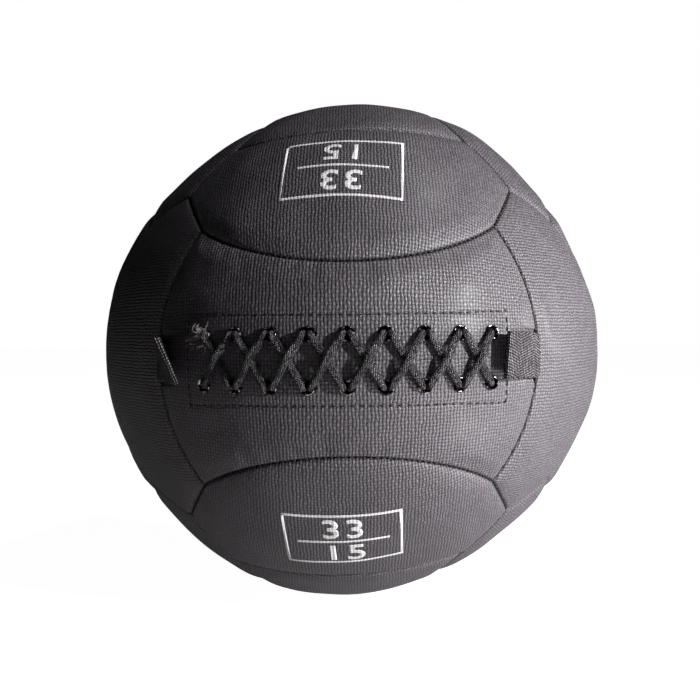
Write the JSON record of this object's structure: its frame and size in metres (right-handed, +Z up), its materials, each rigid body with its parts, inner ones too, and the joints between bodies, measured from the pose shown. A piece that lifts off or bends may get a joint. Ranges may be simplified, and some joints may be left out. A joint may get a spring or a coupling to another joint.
{
  "type": "wall ball",
  "caption": "Heavy soft stuffed exercise ball with a sewn panelled cover, laced shut in front, with a webbing tab at each end of the lacing.",
  "frame": {"origin": "middle of the small flat on which the ball rests, at the bottom of its bottom panel", "axes": "+Z up through the ball's middle, -Y out of the laced front, +X to the right as the front is seen"},
  "size_m": [0.3564, 0.3658, 0.3566],
  "materials": {
    "cover_cloth": "PVC-coated woven polyester, satin sheen",
    "eyelet_metal": "blackened, worn bright on the rims",
    "lace_cord": "round nylon braid",
    "webbing": "nylon in a herringbone weave",
    "lining_cloth": "plain weave",
    "felt_padding": "needle felt",
    "fibre_filling": "packed textile fibre",
    "core_sand": "canvas bag of iron shot"
  },
  "bodies": {
    "ball": {"core_weight": "core_sand", "eyelet_lower_1": "eyelet_metal", "eyelet_lower_2": "eyelet_metal", "eyelet_lower_3": "eyelet_metal", "eyelet_lower_4": "eyelet_metal", "eyelet_lower_5": "eyelet_metal", "eyelet_lower_6": "eyelet_metal", "eyelet_lower_7": "eyelet_metal", "eyelet_lower_8": "eyelet_metal", "eyelet_lower_9": "eyelet_metal", "eyelet_upper_1": "eyelet_metal", "eyelet_upper_2": "eyelet_metal", "eyelet_upper_3": "eyelet_metal", "eyelet_upper_4": "eyelet_metal", "eyelet_upper_5": "eyelet_metal", "eyelet_upper_6": "eyelet_metal", "eyelet_upper_7": "eyelet_metal", "eyelet_upper_8": "eyelet_metal", "eyelet_upper_9": "eyelet_metal", "filling_back": "fibre_filling", "filling_front": "fibre_filling", "lace": "lace_cord", "lace_knot": "lace_cord", "lacing_facing": "cover_cloth", "lining_bag": "lining_cloth", "padding_back": "felt_padding", "padding_front": "felt_padding", "panel_back": "cover_cloth", "panel_back_bottom": "cover_cloth", "panel_back_left": "cover_cloth", "panel_back_right": "cover_cloth", "panel_back_top": "cover_cloth", "panel_bottom": "cover_cloth", "panel_bottom_left": "cover_cloth", "panel_bottom_right": "cover_cloth", "panel_front_bottom": "cover_cloth", "panel_front_laced": "cover_cloth", "panel_front_left": "cover_cloth", "panel_front_right": "cover_cloth", "panel_front_top": "cover_cloth", "panel_left": "cover_cloth", "panel_right": "cover_cloth", "panel_top": "cover_cloth", "panel_top_left": "cover_cloth", "panel_top_right": "cover_cloth", "tongue": "cover_cloth"},
    "left_tab": {"tab_left": "webbing"},
    "right_tab": {"tab_right": "webbing"}
  },
  "joints": [
    {"name": "left_tab_fold", "type": "hinge", "parent": "ball", "child": "left_tab", "pos_m": [-0.10801, -0.13578, 0.1777], "axis": [0, 0, -1], "range_deg": [-18, 61], "stiffness_Nm_per_rad": 0.01},
    {"name": "right_tab_fold", "type": "hinge", "parent": "ball", "child": "right_tab", "pos_m": [0.10801, -0.13578, 0.1777], "axis": [0, 0, 1], "range_deg": [-1, 85], "stiffness_Nm_per_rad": 0.01}
  ]
}
